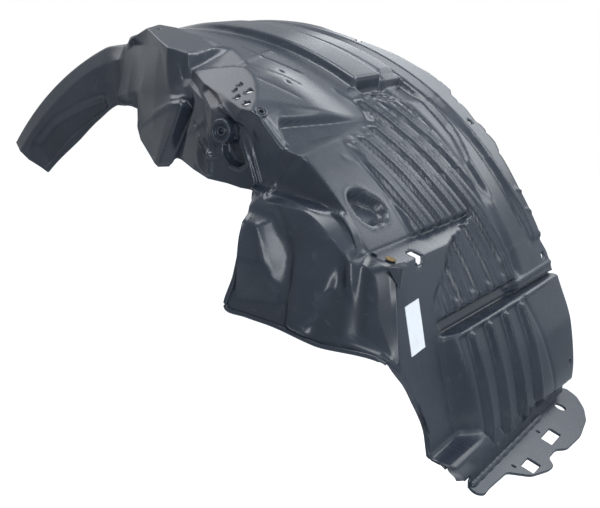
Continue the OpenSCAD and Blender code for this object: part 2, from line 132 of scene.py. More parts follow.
# Sections of the inboard wall at the pocket: arch angle, then width position and radius of five points.
POCKET = [
    (-3, [(45, 396), (44, 395), (43, 394), (42, 393), (41, 391)]),
    (-0.7, [(44, 396), (43, 395), (42, 394), (41, 393), (40, 391)]),
    (2.9, [(19, 396), (18, 395), (18, 394), (18, 393), (18, 391)]),
    (6.3, [(19, 376), (19, 375), (18, 374), (18, 373), (18, 371)]),
    (13.2, [(-1, 378), (-2, 377), (-2, 376), (-3, 375), (-3, 373)]),
    (18.2, [(-21, 378), (-22, 377), (-23, 376), (-24, 375), (-25, 372)]),
    (24, [(-15, 384), (-20, 374), (-25, 356), (-32, 336), (-37, 317)]),
    (29.4, [(-10, 394), (-17, 384), (-23, 355), (-32, 318), (-38, 285)]),
    (33, [(-3, 379), (-16, 372), (-23, 340), (-34, 300), (-40, 266)]),
    (36.6, [(-2, 376), (-16, 368), (-25, 335), (-35, 290), (-40, 250)]),
    (40.6, [(0, 370), (-14, 362), (-22, 335), (-31, 303), (-38, 276)]),
    (44.3, [(0, 353), (-13, 346), (-20, 330), (-28, 312), (-34, 300)]),
    (47.6, [(0, 340), (-10, 333), (-14, 329), (-18, 325), (-22, 321)]),
    (49, [(0, 350), (-1, 338), (-6, 332), (-9, 328), (-11, 323)]),
]
# Sections of the inboard wall at the front arm.
ARM = [
    (107, [(190, 374), (184, 350), (183, 340), (182, 331), (181, 318)]),
    (112, [(196, 378), (191, 356), (190, 346), (189, 337), (188, 325)]),
    (118, [(197, 380), (193, 358), (192, 346), (191, 335), (190, 321)]),
    (128, [(197, 378), (193, 356), (192, 343), (191, 331), (190, 316)]),
    (150, [(197, 378), (193, 357), (192, 346), (191, 335), (190, 323)]),
]
# The faceted part of the inboard wall between the arm and the pocket. Each row runs down from the fold:
# the arch angle where it leaves the band, then five points X, Y, Z, the last one on the free edge.
FACETS = [
    (50.4, [(226, 0, 272), (219, 0, 264), (213, 0, 257), (209, -1, 252), (206, 0, 248)]),
    (52.4, [(222, -2, 288), (216, 0, 277), (212, 0, 267), (209, 0, 258), (205, 1, 249)]),
    (54.5, [(217, -6, 302), (213, -2, 290), (210, 0, 276), (208, 0, 262), (205, 1, 249)]),
    (56.3, [(208, -6, 309), (205, -1, 300), (206, 0, 285), (207, 0, 268), (204, 1, 249)]),
    (58.4, [(186, -2, 309), (192, -2, 297), (199, -1, 276), (202, 0, 262), (203, 0, 249)]),
    (61.5, [(173, 2, 316), (178, 2, 300), (184, 1, 280), (188, 0, 265), (190, 0, 250)]),
    (64, [(162, 5, 321), (168, 4, 304), (172, 3, 284), (175, 1, 268), (176, 0, 253)]),
    (66.8, [(149, 13, 320), (152, 9, 306), (153, 7, 288), (153, 5, 270), (151, 4, 255)]),
    (68.8, [(130, 29, 330), (134, 25, 323), (136, 20, 311), (134, 18, 296), (126, 15, 261)]),
    (74.9, [(94, 57, 343), (108, 41, 335), (116, 34, 322), (110, 32, 304), (96, 36, 266)]),
    (75.5, [(90, 57, 343), (97, 50, 336), (104, 46, 326), (106, 50, 312), (70, 60, 264)]),
    (77, [(82, 60, 344), (88, 52, 335), (95, 46, 326), (102, 50, 314), (60, 62, 254)]),
    (78.7, [(76, 60, 358), (77, 56, 338), (87, 48, 327), (97, 36, 318), (52, 54, 254)]),
    (80.7, [(60, 62, 354), (66, 57, 338), (70, 55, 328), (78, 45, 319), (44, 58, 257)]),
    (84.5, [(36, 82, 373), (34, 78, 352), (36, 72, 330), (38, 66, 307), (30, 70, 261)]),
    (90.5, [(-2, 112, 374), (0, 101, 350), (1, 91, 329), (6, 88, 298), (0, 90, 276)]),
    (92.6, [(-14, 121, 374), (-12, 110, 350), (-8, 98, 328), (-12, 101, 300), (-13, 101, 287)]),
    (95, [(-30, 133, 374), (-26, 121, 350), (-20, 107, 326), (-22, 112, 314), (-23, 115, 306)]),
    (98.5, [(-62, 158, 374), (-59, 149, 350), (-54, 135, 322), (-52, 134, 313), (-48, 134, 307)]),
    (105, [(-98, 182, 362), (-96, 174, 340), (-94, 162, 316), (-93, 163, 311), (-90, 164, 306)]),
]
POCKET_END, FACET_START = 49.0, FACETS[0][0]
FACET_END, ARM_START = FACETS[-1][0], 107.0


def section_points(t, table):
    """The five wall points (y, r) at arch angle t, by a cubic that never overshoots the table."""
    ts = np.array([s[0] for s in table], float)
    pts = np.array([s[1] for s in table], float)
    i = int(np.clip(np.searchsorted(ts, t, side="right") - 1, 0, len(ts) - 2))
    h = ts[i + 1] - ts[i]
    u = (t - ts[i]) / h

    def slope(k):
        if k <= 0 or k >= len(ts) - 1:
            return np.zeros((5, 2))
        a = (pts[k] - pts[k - 1]) / (ts[k] - ts[k - 1])
        b = (pts[k + 1] - pts[k]) / (ts[k + 1] - ts[k])
        return np.where(a * b > 0, 2 * a * b / np.where(np.abs(a + b) < 1e-9, 1, a + b), 0)

    return (
        (2 * u**3 - 3 * u**2 + 1) * pts[i]
        + (u**3 - 2 * u**2 + u) * h * slope(i)
        + (3 * u**2 - 2 * u**3) * pts[i + 1]
        + (u**3 - u**2) * h * slope(i + 1)
    )


def groove_gap(y, first, pitch):
    """Distance from y to the middle of the nearest groove."""
    k = (y - first) / pitch
    return np.abs(k - np.round(k)) * pitch


def base_r(t, y):
    """Radius of the plain arch."""
    return (
        INNER_R
        + (ARCH_R - INNER_R) * y / BAND_W
        + 5 * win(4, 10, 8, t) * ss(150, 300, y)
        + 6 * ss(96, 110, t) * (1 - ss(215, 290, y))
        - 10 * ss(105, 125, t) * ss(230, 338, y)
    )


# How far the grooves between the ribs run outboard towards the rear: arch angle and shift.
RIB_SLANT = [(20, 17), (27, 10), (32.4, 2.5), (38, -9), (41, -13.5), (49, -31.5), (58, -48)]


def ribs(t, y):
    """Ribs with a dark groove between them and two small beads along each crest."""
    yr = y - look(t, RIB_SLANT)
    gap = groove_gap(yr, 90, RIB_PITCH)
    start = look(y, [(80, 49), (113, 49.5), (142, 51), (160, 56), (240, 58)])
    area = ss(72, 80, y) * (1 - ss(228, 244, y)) * (1 - ss(start - 1.5, start, t)) * ss(20.3, 21.2, t)
    crest = RIB_H * ss(2.2, 6.5, gap)
    beads = 1.5 * hill(7.2, 1.6, gap) + 1.7 * hill(13.2, 1.7, gap) - 0.9 * hill(17.75, 2.2, gap)
    pads = 2.4 * (1 - ss(5.5, 7.5, groove_gap(y, 92, 37.5))) * win(20.6, 21.9, 0.3, t) * win(90, 207, 2, y)
    return area * (crest + beads - 2) + pads


def outboard_relief(t, y):
    """Plateau with its end faces, the channel behind it and the grooves beside it."""
    channel = look(t, [(20, 262), (40, 268), (47, 290), (58, 300)])
    return (
        PLATEAU_H * win(184, 240, 7, y) * ss(57.6, 58.8, t) * (1 - ss(84, 96, t))
        - 5 * hill(248, 5, y) * ss(57.6, 59, t) * (1 - ss(88, 98, t))
        + 5 * win(258, 288, 5, y) * ss(59.3, 60.5, t) * (1 - ss(84, 96, t))
        - 9 * win(190, 292, 4, y) * ss(52.5, 57.8, t) * (1 - ss(57.8, 58.8, t))
        - 4 * hill(250, 7, y) * win(22, 57, 2, t)
        - 5 * win(36, 54, 4, t) * ss(236, 262, y) * (1 - ss(channel - 6, channel + 3, y))
        - 3 * hill(302, 3.5, y) * ss(26, 30, t)
        + 4 * ss(307, 313, y) * ss(24, 25.2, t)
    )


def cross_step(t, y):
    """Raised in front, a sloped face, a sharp drop at its foot and a hollow that rises to the rear."""
    foot = 54.7 - 0.0257 * (y - 20)
    top = look(y, [(0, 58.6), (21, 57.7), (54, 55.5), (98, 53.2), (130, 52.1), (150, 51.4)])
    rear = look(y, [(0, 47.8), (10, 47.8), (79, 48.8), (132, 50.4), (150, 51.2)])
    deep = STEP_H * look(y, [(0, 1), (30, 0.72), (76, 0.5), (135, 0.1), (150, 0)])
    rise = STEP_H * 0.4 * (1 - ss(70, 135, y)) * ramp(0, 1, (t - foot) / np.maximum(0.2, top - foot))
    hollow = ramp(0, 1, (t - rear) / np.maximum(0.4, 0.42 * (foot - rear)))
    return rise * (1 - ss(62, 70, t)) - deep * (1 - ss(foot - 0.4, foot, t)) * hollow


# Rounded three-sided recess: its middle and its outline, each as arch angle and width position.
RECESS_AT = (38.0, 36.0)
RECESS_EDGE = [
    (40.2, 14), (41.0, 24), (40.9, 36), (39.5, 50), (37.4, 61), (36.2, 58), (35.7, 38), (36.3, 18),
    (38.0, 11),
]


def recess(t, y):
    """Depth of the recess: steep rounded sides and a floor that rises to the rear."""
    points = [((a - RECESS_AT[0]) * ARC_MM, b - RECESS_AT[1]) for a, b in RECESS_EDGE]
    reach = sorted((math.atan2(b, a), math.hypot(a, b)) for a, b in points)
    turn = 2 * math.pi
    reach = [(reach[-1][0] - turn, reach[-1][1])] + reach + [(reach[0][0] + turn, reach[0][1])]
    u, v = (t - RECESS_AT[0]) * ARC_MM, y - RECESS_AT[1]
    gap = look(np.arctan2(v, u), reach) - np.hypot(u, v)
    floor_depth = RECESS_D * (0.62 + 0.38 * ss(-16, 12, u))
    return -floor_depth * ss(0, 3.4, gap) + 1.5 * hill(-1.2, 1.2, gap)


def panel(t, y):
    """Lower panel with its beads."""
    left = look(t, [(0, 119), (18, 99)])
    gap = groove_gap(y, left + 2, BEAD_PITCH)
    row = ss(left - 12, left - 6, y) * (1 - ss(left + 126, left + 132, y)) * win(-0.5, 16.8, 0.8, t)
    round_bead = BEAD_H * np.sqrt(np.clip(1 - (gap / BEAD_HALF) ** 2, 0, 1))
    return 4.5 + round_bead * row


def wall_radius(t):
    """Radius of the box's leaning rear wall."""
    return (BOX_X + BOX_LEAN * LEDGE_Z) / (np.cos(t * rad) + BOX_LEAN * np.sin(t * rad))


def box_r(t, y):
    """Radius of the rear box: its ledge, which meets the band at its front line, then its rear wall."""
    u = np.clip((t - LEDGE_REAR) / (LEDGE_FRONT - LEDGE_REAR), 0, 1)
    meet = base_r(LEDGE_FRONT, y) - 2.5 * ss(70, 100, y) - 1.5
    ledge = blend(wall_radius(LEDGE_REAR), meet, u)
    return np.where(t > LEDGE_REAR, ledge, wall_radius(np.clip(t, 1.2, LEDGE_REAR)))


# Outboard corner of the rear box, and how wide its side slopes there: arch angle and millimetres.
BOX_CORNER = [
    (0, 77), (4.7, 75), (6.4, 70), (19.2, 59), (23.6, 60), (26.2, 84), (29.4, 103), (31.2, 165), (32.4, 196),
]
BOX_SIDE = [(0, 30), (18.6, 22), (20, 10), (23.6, 6), (25.4, 8), (27.4, 25), (29.4, 34), (32.4, 6)]


def plane_r(t, y, nx, ny, nz, d):
    """Radius of the plane nx X + ny Y + nz Z = d."""
    return (d - ny * y) / (nx * np.cos(t * rad) + nz * np.sin(t * rad))


# Planes as normal and distance: the bump's top face, its front ramp, and the facet at the cross step's end.
BUMP_TOP = (0.188, -0.15, 0.97, 363.7)
BUMP_RAMP = (-0.338, -0.198, 0.92, 340.3)
CORNER_FACET = (0.853, -0.03, 0.521, 350.3)
# Outboard edges of the bump and of the raised platform: arch angle and width position.
BUMP_EDGE = [
    (74, 97), (75.7, 100), (80, 117), (84, 130), (88, 140), (92, 136), (97, 150), (105, 192), (107, 225),
    (112, 240),
]
PLATFORM_EDGE = [(58, 30), (60.6, 40), (64.5, 60), (66.7, 68), (68.9, 70), (74.9, 60)]

# Fine lines of the band: height, half width and a chain of (arch angle, width position).
BAND_LINES = [
    (-1.2, 1.6, [(77.0, 68), (75.9, 74)]),
    (-1.2, 1.6, [(75.7, 79), (74.9, 87)]),
    (0.9, 1.8, [(88.8, 104), (86.7, 101)]),
    (-1.6, 1.8, [(68.8, 71), (67.8, 73)]),
    (-0.9, 1.7, [(74.1, 125), (69.8, 120), (63.5, 132)]),
    (-0.8, 1.7, [(67.5, 76), (60.4, 100)]),
    (-0.7, 1.7, [(63, 50), (57.3, 70)]),
    (1.3, 2.2, [(68.6, 80), (70.8, 148)]),
    (2.6, 1.8, [(55.0, -8), (52.4, 1), (50.4, 3)]),
    (2.0, 1.4, [(55.2, -2), (52.8, 7), (50.8, 9)]),
    (-1.6, 2.2, [(58, 148), (54, 156), (49, 165)]),
    (-1.3, 2.0, [(58.3, 297), (44.3, 281), (40.4, 268)]),
    (1.6, 2.4, [(55, 241), (35.5, 233)]),
    (1.4, 2.2, [(24, 216), (24.5, 238), (24.5, 298)]),
    (-1.2, 2.0, [(23.6, 219), (20.9, 222), (18.6, 230)]),
    (2.0, 2.4, [(19.8, 228), (20.2, 337)]),
    (-1.4, 2.0, [(18.7, 234), (0.5, 286)]),
    (2.6, 2.2, [(17.7, 84), (17.7, 241), (18.2, 345)]),
    (0.9, 1.6, [(46.0, 52), (44.5, 66)]),
    (1.6, 1.6, [(32.9, 323), (32.3, 331)]),
    (1.6, 1.6, [(29.4, 323), (28.8, 331)]),
    (1.6, 1.6, [(25.4, 323), (24.8, 331)]),
]
# Round marks of the band: arch angle, width position, radius, height.
BAND_KNOBS = [(75.6, 76, 3.2, 1.8), (77.6, 63, 3.2, 1.8), (64.3, 105, 2.4, -1.5), (61, 84, 2.4, -1.3)]


def band_marks(t, y):
    """Fine lines and round marks of the band."""
    out = np.zeros(np.broadcast(t, y).shape)
    for height, width, chain in BAND_LINES:
        out = out + height * hill(0, width, near_line(t * ARC_MM, y, [(a * ARC_MM, b) for a, b in chain]))
    for at, across, size, height in BAND_KNOBS:
        d = np.hypot((t - at) * ARC_MM, y - across)
        out = out + height * (1 - ss(size - 1.2, size + 1, d))
    return out


def foot_share(t, y):
    """1 at the upright foot of the sheet, whose upper border is scalloped between the beads."""
    scallop = 0.5 + 0.5 * np.cos((y - 118) * 2 * math.pi / 23.7)
    top = 3 - 2.7 * ss(98, 124, y) + 1.1 * scallop * win(122, 250, 6, y)
    return 1 - ss(top - 0.5, top + 0.7, t)


def bump_r(t, y):
    """Radius of the bump: its top face falls to the rear, its ramp falls to the front."""
    near = np.clip(t, 70, 115)
    return np.minimum(plane_r(near, y, *BUMP_TOP), plane_r(near, y, *BUMP_RAMP))


def bay_r(t, y):
    """Radius of the banked bay behind the bump, with the raised platform on its inboard side."""
    side = look(t, PLATFORM_EDGE)
    bay = (350 + 0.46 * (y - 60)) / np.sin(np.maximum(40, t) * rad)
    return bay + PLATFORM_H * (1 - ss(side - 0.8, side + 0.8, y)) * (1 - ss(74.2, 75, t)) + band_marks(t, y)


def band_r(t, y):
    """Radius of the band at arch angle t and width position y."""
    t, y = np.broadcast_arrays(np.asarray(t, float), np.asarray(y, float))
    r = base_r(t, y) + ribs(t, y) + outboard_relief(t, y) + cross_step(t, y) + recess(t, y) + band_marks(t, y)
    r = np.where(t < 18.8, blend(r + panel(t, y), r - GROOVE_D, ss(17.6, 18.8, t)), r)
    r = r - GROOVE_D * win(18.8, 20.2, 0.5, t) * (1 - ss(228, 240, y))
    box = (1 - ss(0, 1, (y - look(t, BOX_CORNER)) / look(t, BOX_SIDE))) * (1 - ss(32.2, 32.6, t))
    r = blend(r, box_r(t, y), box)
    r = blend(r, FOOT_X / np.cos(np.clip(t, -4, 5) * rad), foot_share(t, y))
    edge = look(t, BUMP_EDGE)
    bump_share = (1 - ss(edge - 3, edge + 9, y)) * ss(75.5, 76.2, t) * (1 - ss(105.5, 112, t))
    r = blend(r, bump_r(t, y), bump_share)
    bay_front = 76.3 - 2 * (y - 60) / 37
    bay_share = (1 - ss(bay_front - 0.6, bay_front + 0.6, t)) * ss(56, 57, t)
    r = blend(r, np.minimum(r, bay_r(t, y)), bay_share)
    facet_share = (1 - ss(-1, 3, y - 4.2 * (t - 50.4))) * win(50.4, 55.8, 0.6, t)
    facet = plane_r(np.clip(t, 45, 60), y, *CORNER_FACET) + band_marks(t, y)
    return blend(r, facet, facet_share)


def inside(x, z, corners, soft):
    """1 inside a convex outline of counterclockwise (x, z) corners, falling to 0 over soft at its edge."""
    d = np.full(np.shape(x), 1e9)
    for (ax, az), (bx, bz) in zip(corners, corners[1:] + corners[:1]):
        ln = math.hypot(bx - ax, bz - az)
        d = np.minimum(d, ((bx - ax) * (z - az) - (bz - az) * (x - ax)) / ln)
    return ss(-soft / 2, soft / 2, d)


# Ridge along the top of the pocket wall, in the side view: X and Z.
POCKET_RIDGE = [(205, 254), (210, 253), (249, 247), (280, 239), (299, 236), (309, 224), (318, 206)]
# Fine lines of the inboard wall, in the side view: height, half width and a chain of (X, Z).
WALL_LINES = [
    (2.6, 1.7, POCKET_RIDGE),
    (5.5, 2.6, [(154, 278), (154, 261)]),
    (5.0, 2.4, [(130, 290), (147, 281), (154, 278)]),
    (4.0, 2.4, [(132, 281), (137, 265), (149, 259)]),
    (3.2, 1.8, [(140, 291), (147, 290), (155, 284)]),
    (3.2, 1.8, [(149, 296), (154, 294), (161, 288)]),
    (2.8, 1.8, [(158, 276), (163, 278), (168, 282)]),
    (2.2, 2.0, [(85, 289), (122, 299), (137, 306)]),
    (3.0, 1.6, [(168, 284), (178, 270), (189, 267), (198, 274), (192, 293)]),
    (4.2, 1.8, [(161, 322), (186, 310), (195, 296), (208, 253)]),
    (2.6, 1.4, [(168, 322), (192, 309), (200, 295), (213, 254)]),
    (2.8, 2.0, [(-11, 288), (72, 318), (95, 321)]),
    (1.8, 1.5, [(72, 323), (93, 326)]),
    (1.6, 1.6, [(213, 231), (231, 225), (235, 215), (243, 192), (248, 176)]),
    (-1.8, 1.6, [(243, 239), (251, 229), (259, 204), (261, 189), (262, 172)]),
    (-1.5, 2.0, [(121, 303), (124, 302)]),
    (1.6, 2.2, [(205, 151), (228, 146), (260, 138), (283, 134), (314, 133), (347, 125)]),
    (1.5, 4.5, [(314, 208), (313, 140)]),
    (-1.6, 4.5, [(325, 204), (325, 140)]),
]
# Corners of the rounded pocket beside the boss: X and Z.
WALL_POCKET = [(168, 281), (178, 272), (188, 269), (196, 274), (187, 294), (169, 291)]


def block(x, z):
    """Block at the front of the pocket wall: upright face with sloped top and rear."""
    rear = look(z, [(176, 262), (189, 259), (204, 258), (228, 250), (236, 246)])
    face = look(z, [(176, 248), (192, 243), (215, 235), (225, 231)])
    top = 241 - 0.2 * (x - 218)
    slope = np.minimum(ramp(0, 1, (rear - x) / (rear - face)), ramp(0, 1, (top - z) / 13))
    return BLOCK_H * ramp(158, 196, z) * slope * ramp(207, 213, x)


def swelling(x, z):
    """Low rounded swelling behind the block."""
    far = look(z, [(143, 286), (176, 304), (201, 309), (221, 302)])
    rise = ramp(258, 266, x) * (1 - ss(far - 9, far, x)) * ss(128, 142, z) * (1 - ss(180, 215, z))
    return SWELLING_H * rise


def ridge_step(x, z):
    """Step along the top of the pocket wall, which fades out below it."""
    below = look(x, POCKET_RIDGE) - z
    fade = (1 - ss(10, 50, below)) * ramp(205, 208, x) * (1 - ss(316, 322, x))
    return RIDGE_H * ss(-0.9, 1.0, below) * fade


# Upper border of the hollow in the arm's wall: arch angle and radius.
ARM_TOP = [(112, 346), (118, 352), (122, 357), (130, 367), (140, 368)]


def wall_relief(x, z, t, r):
    """Relief of the inboard wall, measured towards the car."""
    arm_edge = look(t, ARM_TOP)
    hollow = win(116, 136, 3, t) * (1 - ss(arm_edge - 12, arm_edge, r)) * ss(326, 330, r)
    pocket = np.maximum(block(x, z), ridge_step(x, z)) + swelling(x, z)
    out = -8 * hollow + np.where(t < 50.6, pocket, 0)
    below = 333 - 0.55 * (x - 150) - z
    out = out - 5 * win(58, 68.5, 1.2, t) * ss(0, 3, below) * (1 - ss(6, 16, below))
    dent = 9 * inside(x, z, WALL_POCKET, 2.0) * (1 - ss(288, 296, z + 0.2 * (x - 187)))
    out = out - np.where((t > 50) & (t < 76), dent, 0)
    for height, width, chain in WALL_LINES:
        out = out + height * hill(0, width, near_line(x, z, chain))
    return out


# Tabs and notches of the outboard edge: arch angle and millimetres past the band's width.
EDGE_TABS = [
    (22, 0), (25, -9), (33, -8), (38.6, -2), (39.4, -3), (39.8, 1), (41.4, 7), (42.6, 6), (43.4, 3),
    (43.9, 7), (45, 6), (45.6, 2), (46, 1), (48.5, 6), (49.6, 6), (50.2, 3), (50.8, 6), (52, 6), (52.6, 12),
    (53, 16), (55.3, 17), (55.6, 14), (56, 16), (58, 15), (60, 10), (64, 6), (70, -10), (75, -12), (78, -4),
    (82, 0),
]


def edge_y(t):
    """Outboard edge of the band, with its tabs and notches."""
    return BAND_W + look(t, EDGE_TABS)


def fill(knots, step):
    """Values between the knots, at most step apart."""
    out = [knots[0]]
    for a, b in zip(knots, knots[1:]):
        n = max(1, math.ceil(abs(b - a) / step - 1e-6))
        out += [a + (b - a) * k / n for k in range(1, n + 1)]
    return out


# Rows of the mesh along the arch and columns across the band, closer where the form has steps: the end of
# each zone, and its step.
FIRST_ROW = -2.2
ROW_ZONES = [
    (3.8, 0.3), (16.4, 0.62), (22, 0.2), (29.2, 0.45), (33, 0.2), (50, 0.4), (79, 0.3), (107, 0.5),
    (142, 0.75),
]
COLUMN_ZONES = [(74, 2.5), (250, 1.6), (322, 2.2), (338, 3.2)]
# From this arch angle on, rows are spread to the front end.
SPREAD_START, SPREAD_END = 120.0, 142.0


def zoned(start, zones, knots=()):
    """Values from start to the last zone's end in the zones' steps, with the knots among them."""
    out = [start]
    for end, step in zones:
        out += fill([start] + [k for k in sorted(knots) if start < k < end] + [end], step)[1:]
        start = end
    return np.array(out)


rows = zoned(FIRST_ROW, ROW_ZONES, [f[0] for f in FACETS] + [POCKET_END, ARM_START])
spread = (FRONT_END - SPREAD_START) / (SPREAD_END - SPREAD_START)
rows = np.where(rows > SPREAD_START, SPREAD_START + (rows - SPREAD_START) * spread, rows)
band_cols = zoned(0, COLUMN_ZONES)
N_WALL = 60


def polar(t, y, r):
    """Point X, Y, Z at arch angle t, width position y and radius r."""
    return np.stack([r * np.cos(t * rad), y, r * np.sin(t * rad)], -1)


def wall_corners(t):
    """Fold and the five points below it, as X, Y, Z, at arch angle t."""
    fold_y = look(t, FOLD)
    top = polar(t, fold_y, band_r(t, fold_y))
    if FACET_START <= t <= FACET_END:
        ts = [f[0] for f in FACETS]
        i = min(int(np.searchsorted(ts, t, side="right")) - 1, len(ts) - 2)
        u = (t - ts[i]) / (ts[i + 1] - ts[i])
        low = np.array(FACETS[i][1], float) * (1 - u) + np.array(FACETS[i + 1][1], float) * u
        return np.vstack([top[None], low])
    if t < FACET_START:
        tt, table, far = min(t, POCKET_END), POCKET, FACETS[0][1]
        u = max(0.0, (t - POCKET_END) / (FACET_START - POCKET_END))
    else:
        tt, table, far = max(t, ARM_START), ARM, FACETS[-1][1]
        u = max(0.0, (ARM_START - t) / (ARM_START - FACET_END))
    fold_r = float(np.hypot(top[0], top[2]))
    section = enumerate(section_points(tt, table))
    near = [polar(tt, y, min(r, fold_r - 0.8 * (k + 1))) for k, (y, r) in section]
    low = np.array(near) * (1 - u) + np.array(far, float) * u
    return np.vstack([top[None], low])


# Places of the band's columns are those of a band with no fold. Up to this one they shift with the fold.
FOLD_COLS = 82


def build_grid():
    """Points of the sheet's outer side: a row per arch angle, wall columns first, then band columns."""
    grid = np.zeros((len(rows), N_WALL + len(band_cols), 3))
    w = np.linspace(1, 0, N_WALL, endpoint=False)
    k = np.minimum(w * 5, 4.9999)
    j = k.astype(int)
    u = (k - j)[:, None]
    for i, t0 in enumerate(rows):
        corners = wall_corners(float(t0))
        p = blend(corners[j], corners[j + 1], u)
        slant = ss(118, 142, t0)
        ang = np.degrees(np.arctan2(p[:, 2], p[:, 0])) - 3.6 * slant * w
        r = np.hypot(p[:, 0], p[:, 2])
        p = polar(ang, p[:, 1], r)
        p[:, 1] -= wall_relief(p[:, 0], p[:, 2], ang, r) * ss(0, 0.06, w) * (1 - ss(0.93, 1, w))
        grid[i, :N_WALL] = p
        t = t0 - 7.5 * slant * band_cols / BAND_W
        fold_y = look(t, FOLD)
        middle = np.maximum(FOLD_COLS, fold_y + (BAND_W - fold_y) * FOLD_COLS / BAND_W)
        near = fold_y + (middle - fold_y) * band_cols / FOLD_COLS
        far = middle + (edge_y(t) - middle) * (band_cols - FOLD_COLS) / (BAND_W - FOLD_COLS)
        y = np.where(band_cols < FOLD_COLS, near, far)
        grid[i, N_WALL:] = polar(t, y, band_r(t, y))
    return grid


def soften(grid, share):
    """Rounds creases by the given share, as moulding does, and leaves the outline in place."""
    around = (grid[2:, 1:-1] + grid[:-2, 1:-1] + grid[1:-1, 2:] + grid[1:-1, :-2]) / 4
    part = share[1:-1, 1:-1, None]
    grid[1:-1, 1:-1] = (1 - part) * grid[1:-1, 1:-1] + part * around
    return grid


def normals(g):
    """Unit normals towards the outside of the arch."""
    a, b = np.zeros_like(g), np.zeros_like(g)
    a[1:-1] = g[2:] - g[:-2]
    a[0], a[-1] = g[1] - g[0], g[-1] - g[-2]
    b[:, 1:-1] = g[:, 2:] - g[:, :-2]
    b[:, 0], b[:, -1] = g[:, 1] - g[:, 0], g[:, -1] - g[:, -2]
    n = np.cross(b, a)
    return n / np.maximum(np.linalg.norm(n, axis=-1, keepdims=True), 1e-9)


# Holes of the outboard edge as arch angle and width position, those of the platform with their radius, and
# the small hole at the top of the band.
EDGE_HOLES = [(4.2, 326), (21.6, 324), (46, 326), (70, 324), (90, DATUM_Y), (101, 322)]
PLATFORM_HOLES = [(63.6, 33, 3), (63.2, 23, 3), (61.0, 22, 4.2), (61.4, 11, 3.6), (58.9, 2, 4)]
TOP_HOLE = (88.9, 117, 3)
# Middle of the hook slot in the ledge, and its half lengths.
SLOT_AT, SLOT_HALF = (BOX_X - 3, 41.5, 199.0), (8.0, 7.5)
BOSS_AT, BOSS_R = (171.5, 5.5, 300.5), 11.0


def sheet_point(t, y):
    """Point of the sheet's outer side on the band."""
    return polar(t, y, float(band_r(t, y)))


def hole_list():
    """Each hole's middle, half lengths along and across, and power: 2 for round and more for square."""
    round_holes = [(t, y, SCREW_R) for t, y in EDGE_HOLES] + PLATFORM_HOLES + [TOP_HOLE]
    holes = [(sheet_point(t, y), size, size, 2) for t, y, size in round_holes]
    return holes + [(np.array(SLOT_AT), *SLOT_HALF, 8), (np.array(BOSS_AT), BOSS_R, BOSS_R, 2)]


# Points further than this from a hole's middle stay as they are.
HOLE_REACH = 30


def cut_holes(g, keep):
    """Drops the cells inside each hole and draws the points around them onto its outline."""
    for at, half_a, half_b, power in hole_list():
        d = np.linalg.norm(g - at, axis=-1)
        i, j = np.unravel_index(np.argmin(d), d.shape)
        i, j = np.clip(i, 3, g.shape[0] - 4), np.clip(j, 3, g.shape[1] - 4)
        across = g[i, j + 3] - g[i, j - 3]
        across /= np.linalg.norm(across)
        along = g[i + 3, j] - g[i - 3, j]
        along -= across * (along @ across)
        along /= np.linalg.norm(along)
        a, b = (g - at) @ along, (g - at) @ across
        q = (np.abs(a / half_a) ** power + np.abs(b / half_b) ** power) ** (1 / power)
        q[d > HOLE_REACH] = 9
        middle = (q[1:, 1:] + q[:-1, 1:] + q[1:, :-1] + q[:-1, :-1]) / 4
        cell = middle < 1
        keep &= ~cell
        touched = np.zeros(q.shape, bool)
        for di in (0, 1):
            for dj in (0, 1):
                touched[di:di + cell.shape[0], dj:dj + cell.shape[1]] |= cell
        move = touched & (q > 0.05)
        flat = a[move, None] * along + b[move, None] * across
        g[move] += flat * (1 / q[move, None] - 1)
    return g, keep


ORIGIN = np.array([0.0, DATUM_Y, DATUM_R])


def to_row(points):
    """From millimetres about the axle to metres in the row's frame."""
    return (np.asarray(points, float) - ORIGIN) / 1000


def mesh_object(name, verts, faces, smooth=True):
    """Mesh object from points in metres in the row's frame."""
    mesh = bpy.data.meshes.new(name)
    mesh.from_pydata([tuple(v) for v in verts], [], [tuple(f) for f in faces])
    mesh.validate()
    mesh.update()
    mesh.polygons.foreach_set("use_smooth", [smooth] * len(mesh.polygons))
    obj = bpy.data.objects.new(name, mesh)
    bpy.context.scene.collection.objects.link(obj)
    return obj


def compact(verts, faces):
    """Leaves out the points that no face uses."""
    used = np.unique(faces)
    lut = np.zeros(len(verts), int)
    lut[used] = np.arange(len(used))
    return verts[used], lut[faces]


def sheet_objects():
    """The outer side with all rims, and the inner side."""
    g = build_grid()
    everywhere = np.full(g.shape[:2], 0.5)
    # The border of bump and bay runs at a slant to the rows, so it takes more rounding.
    slanted = everywhere * win(72.5, 79, 1, rows)[:, None] * (g[:, :, 1] > 50) * (g[:, :, 1] < 125)
    g = soften(g, everywhere)
    for _ in range(3):
        g = soften(g, slanted)
    keep = np.ones((g.shape[0] - 1, g.shape[1] - 1), bool)
    # The foot's inboard corner is cut off.
    keep &= ~((rows[:-1, None] < -0.5) & (g[:-1, 1:, 1] < 58))
    g, keep = cut_holes(g, keep)
    inner = g - WALL_T * normals(g)
    m, cols = g.shape[0] * g.shape[1], g.shape[1]
    verts = to_row(np.concatenate([g.reshape(-1, 3), inner.reshape(-1, 3)]))
    i, j = np.nonzero(keep)
    q = i * cols + j
    outer = np.stack([q, q + 1, q + cols + 1, q + cols], 1)
    under = np.stack([q, q + cols, q + cols + 1, q + 1], 1) + m
    a = outer.ravel()
    b = np.roll(outer, -1, 1).ravel()
    rim = ~np.isin(a * m + b, b * m + a)
    a, b = a[rim], b[rim]
    rims = np.stack([b, a, a + m, b + m], 1)
    face = mesh_object("liner_face", *compact(verts, np.concatenate([outer, rims])))
    back_side = mesh_object("liner_back", *compact(verts, under))
    return [face, back_side, rolled_edge(g)]


